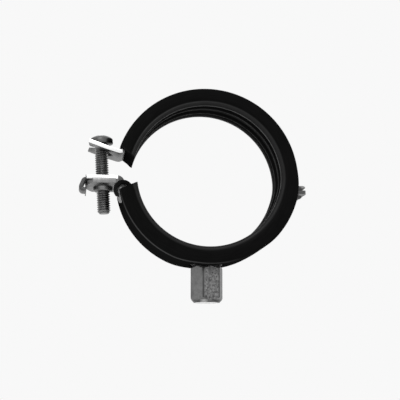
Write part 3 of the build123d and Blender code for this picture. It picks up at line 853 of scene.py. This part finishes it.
# ---------------------------------------------------------------- small steel forms
TONGUE = (                      # outlines along X and Z, widths along Y
    (-36.0, -4.8), (-37.2, -4.7), (-38.6, -4.9), (-39.9, -6.0), (-40.35, -8.0), (-39.9, -10.2),
    (-39.4, -12.0), (-38.9, -12.6), (-37.8, -12.6), (-36.4, -10.0), (-35.9, -7.0),
)
TONGUE_WIDTH = (-9.95, -5.5)
HINGE_FLANGE = (
    (40.0, -3.25), (42.7, -3.25), (43.35, -3.4), (43.75, -3.75), (43.85, -4.15), (43.6, -4.4),
    (40.0, -4.4),
)
FLANGE_WIDTH = (-5.0, 5.0)
HINGE_CHEEK = (
    (40.2, -6.8), (43.95, -6.8), (43.9, -7.1), (43.6, -7.45), (43.1, -7.65), (40.2, -7.65),
)
CHEEK_WIDTHS = {"near": (-5.45, -3.3), "far": (3.3, 5.45)}


SLAB_ROUND = 0.15               # the outline is full from here on
SLAB_SHRINK = 0.9               # share of the outline at the very ends


def slab(name, outline, width, material, body):
    """Flat piece with this outline in X and Z, and slightly rounded at both ends of its width along Y."""
    middle = [sum(point[axis] for point in outline) / len(outline) for axis in (0, 1)]
    low, high = width
    rings = []
    ends = ((low, SLAB_SHRINK), (low + SLAB_ROUND, 1.0), (high - SLAB_ROUND, 1.0), (high, SLAB_SHRINK))
    for y, share in ends:
        rings.append([(mix(middle[0], x, share), y, mix(middle[1], z, share)) for x, z in outline])
    add_piece(name, *tube(rings), material, body, "zinc_steel", smooth_angle=40)


def small_steel(material):
    slab("plate_tongue", TONGUE, TONGUE_WIDTH, material, "lower_half")
    slab("hinge_flange", HINGE_FLANGE, FLANGE_WIDTH, material, "upper_half")
    for side, width in CHEEK_WIDTHS.items():
        slab("hinge_cheek_" + side, HINGE_CHEEK, width, material, "lower_half")


# ---------------------------------------------------------------- closing screw
SCREW_SMOOTH = 40


def screw_place():
    lean = Matrix.Rotation(math.radians(-SCREW_LEAN), 4, "Y")
    return Matrix.Translation(Vector(SCREW_SEAT)) @ lean


def lathe_ring(radius, height):
    """Loop of points round the screw, where the radius is a number or depends on the turn."""
    turns = [2 * math.pi * index / SCREW_COLUMNS for index in range(SCREW_COLUMNS)]
    if callable(radius):
        return [(radius(turn) * math.cos(turn), radius(turn) * math.sin(turn), height) for turn in turns]
    return [(radius * math.cos(turn), radius * math.sin(turn), height) for turn in turns]


def screw(material):
    rings = [lathe_ring(SCREW_TIP, -SCREW_LENGTH)]
    rows = int((SCREW_LENGTH - SCREW_START) / SCREW_PITCH * SCREW_ROWS)
    for row in range(rows + 1):
        height = -SCREW_LENGTH + row * SCREW_PITCH / SCREW_ROWS
        start = smoothstep(0.0, SCREW_TAPER[0], height + SCREW_LENGTH)
        finish = smoothstep(*SCREW_PLAIN, height)
        limit = SCREW_CREST - SCREW_TAPER[1] * (1 - start)

        def radius(turn, height=height, limit=limit, finish=finish):
            share = thread_profile(height / SCREW_PITCH - turn / (2 * math.pi))
            root = SCREW_ROOT + (SCREW_CREST - SCREW_NECK - SCREW_ROOT) * (1 - finish)
            return min(limit, root + (SCREW_CREST - root) * share * finish)

        rings.append(lathe_ring(radius, height))
    rings += [lathe_ring(*point) for point in HEAD_OUTLINE]
    rise = HEAD_HEIGHT - HEAD_SIDE
    dome = (HEAD_RADIUS**2 + rise**2) / (2 * rise)
    for step in range(DOME_STEPS):
        out = (HEAD_RADIUS - DOME_INSET) * math.cos(math.radians(DOME_TURN * step / (DOME_STEPS - 1)))
        rings.append(lathe_ring(out, HEAD_HEIGHT - dome + math.sqrt(dome**2 - out**2) - DOME_DROP))
    points, faces = tube(rings)
    place = screw_place()
    points = [place @ Vector(point) for point in points]
    piece = add_piece("pan_head_screw", points, faces, material, "screw", "screw_steel", SCREW_SMOOTH)
    cut_away(piece, recess_cutter(place))
    piece.data.set_sharp_from_angle(angle=math.radians(SCREW_SMOOTH))
    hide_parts("closing_screw")


def recess_cutter(place):
    """Slot right across the head with a shorter cross arm, both a little wider at the top."""
    rings = []
    floor_height = HEAD_HEIGHT - RECESS_DEPTH
    beside, above = RECESS_CLEAR
    for height, grow in ((floor_height, 0.0), (HEAD_HEIGHT + above, RECESS_FLARE)):
        half = RECESS_WIDTH / 2 + grow
        arm = RECESS_CROSS / 2 + grow
        long = HEAD_RADIUS + beside
        quarter = [(long, -half), (long, half), (half, half), (half, arm)]
        loop = quarter + [(-x, y) for x, y in reversed(quarter[1:])]
        loop += [(-x, -y) for x, y in quarter[1:]]
        loop += [(x, -y) for x, y in reversed(quarter[2:])]
        rings.append([place @ Vector((x, y, height)) for x, y in loop])
    points, faces = tube(rings)
    mesh = bpy.data.meshes.new("recess")
    mesh.from_pydata([Vector(point) * MM for point in points], [], faces)
    clean(mesh)
    cutter = bpy.data.objects.new("recess", mesh)
    bpy.context.scene.collection.objects.link(cutter)
    return cutter


# ---------------------------------------------------------------- connection nut
def nut_outside(turn, limit):
    """Radius of the hexagon at a turn, or the limit where that is less."""
    local = (math.degrees(turn) - NUT_TURN + 30) % 60 - 30
    return min(NUT_APOTHEM / math.cos(math.radians(local)), NUT_ROLLED, limit)


def under_ring(x):
    """Height just under the strip."""
    return -math.sqrt(STEEL_OUT**2 - x**2) - UNDER_RING


def nut_ring(height, radius_at):
    """Loop of points round the nut, closer together at its corners and kept under the strip."""
    ring = []
    for corner in range(6):
        middle = NUT_TURN + 30 + 60 * corner
        for offset in NUT_TURNS:
            turn = math.radians(middle + offset)
            radius = radius_at(turn)
            x, y = radius * math.cos(turn), radius * math.sin(turn)
            ring.append((x, y, min(height, under_ring(x))))
    return ring


def nut_outline(height, limit):
    return nut_ring(height, lambda turn: nut_outside(turn, limit))


def nut_thread(high, low, thread):
    """Loops from the upper end of a thread to its lower end, where it starts and stops gently."""
    crest, root, pitch = thread
    rings = []
    rows = int((high - low) / pitch * THREAD_ROWS)
    for row in range(rows + 1):
        height = high + (low - high) * row / rows
        fade = smoothstep(0, THREAD_FADE, min(high - height, height - low))

        def radius_at(turn, height=height, fade=fade):
            share = thread_profile(height / pitch - turn / (2 * math.pi))
            return crest + (root - crest) * share * fade

        rings.append(nut_ring(height, radius_at))
    return rings


def nut(material):
    face = NUT_CORNER - NUT_CHAMFER
    rings = [nut_outline(NUT_BOTTOM, face - NUT_BREAK[0]), nut_outline(NUT_BOTTOM + NUT_BREAK[1], face)]
    for share in NUT_CHAMFER_SHARES:
        rings.append(nut_outline(NUT_BOTTOM + NUT_CHAMFER_HEIGHT * share, face + NUT_CHAMFER * share))
    for share in reversed(NUT_CHAMFER_SHARES):
        rings.append(nut_outline(NUT_CAP - NUT_CHAMFER_HEIGHT * share, face + NUT_CHAMFER * share))
    rings.append(nut_outline(NUT_CAP, face))
    for radius in NUT_MOUTH:
        rings.append(nut_ring(NUT_CAP, lambda turn, radius=radius: radius))
    step = NUT_BOTTOM + M10_DEPTH
    rings += nut_thread(NUT_CAP, step + M8_START, M8_THREAD)
    rings += nut_thread(step, NUT_BOTTOM + M10_START, M10_THREAD)
    rings.append(nut_ring(NUT_BOTTOM, lambda turn: M10_THREAD[1] - BORE_INSET))
    points, faces = closed_tube(rings)
    piece = add_piece("hexagon_nut", points, faces, material, "lower_half", "nut_steel", smooth_angle=30)
    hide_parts("connection_nut")


def weld(material):
    """Uneven bead in the corner between the nut and the strip."""
    chance = random.Random(WELD_SEED)
    least, more = WELD_SIZE
    sizes = [least + more * chance.random() for _ in range(WELD_COLUMNS // WELD_COLUMNS_A_SIZE)]
    at_corner, at_side = WELD_INSET
    rings = []
    for index in range(WELD_COLUMNS):
        turn = 2 * math.pi * index / WELD_COLUMNS
        spot = index / WELD_COLUMNS_A_SIZE
        size = mix(sizes[int(spot)], sizes[(int(spot) + 1) % len(sizes)], smoothstep(0, 1, spot % 1))
        radius = nut_outside(turn, NUT_CORNER - at_corner) - at_side
        x, y = radius * math.cos(turn), radius * math.sin(turn)
        ring = []
        for corner in range(WELD_CORNERS):
            around = 2 * math.pi * corner / WELD_CORNERS
            out = size * math.cos(around)
            z = under_ring(x) - WELD_DROP + WELD_FLATNESS * size * math.sin(around)
            ring.append((x + out * math.cos(turn), y + out * math.sin(turn), z))
        rings.append(ring)
    points, faces = closed_tube(rings)
    add_piece("nut_weld", points, faces, material, "lower_half", "nut_steel", smooth_angle=60)


# ---------------------------------------------------------------- steel pieces with broken edges
NODE_SAME_POINT = 0.002         # millimetres
NODE_FLAT = 0.5                 # degrees between faces that become one
NODE_SHARP = 35                 # degrees between faces from which an edge is rounded
STRIP_ROUND = 0.15
PLATE_ROUND = 0.2


def broken_edges(name, node, material, body, width):
    """The node's own shape with its sharp edges rounded off, as sheared and plated steel has them."""
    mesh = NODES[node].data.copy()
    work = bmesh.new()
    work.from_mesh(mesh)
    bmesh.ops.remove_doubles(work, verts=work.verts, dist=NODE_SAME_POINT * MM)
    bmesh.ops.dissolve_limit(
        work, angle_limit=math.radians(NODE_FLAT), use_dissolve_boundaries=False,
        verts=work.verts, edges=work.edges,
    )
    work.normal_update()
    limit = math.radians(NODE_SHARP)
    sharp = [edge for edge in work.edges if len(edge.link_faces) == 2 and edge.calc_face_angle() > limit]
    bmesh.ops.bevel(
        work, geom=sharp, offset=width * MM, offset_type="OFFSET", segments=2, profile=0.5, affect="EDGES",
        clamp_overlap=True, harden_normals=False,
    )
    work.to_mesh(mesh)
    work.free()
    mesh.name = name
    piece = finish_piece(name, mesh, material, body, smooth_angle=32)
    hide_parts(node)


bpy.context.scene.view_settings.view_transform = "Standard"
camera()
world()
floor()
area_lamp("key", KEY_AT, KEY_TO, KEY_SIZE, KEY_POWER)

rubber = rubber_material()
lining(rubber)
tail(rubber)
screw(screw_material())
nut(nut_material())
weld(weld_material())
strip = strip_material()
broken_edges("lower_strip", "lower_band", strip, "lower_half", STRIP_ROUND)
broken_edges("upper_strip", "upper_band", strip, "upper_half", STRIP_ROUND)
plate = plate_material()
broken_edges("threaded_plate", "nut_plate", plate, "lower_half", PLATE_ROUND)
small_steel(plate)
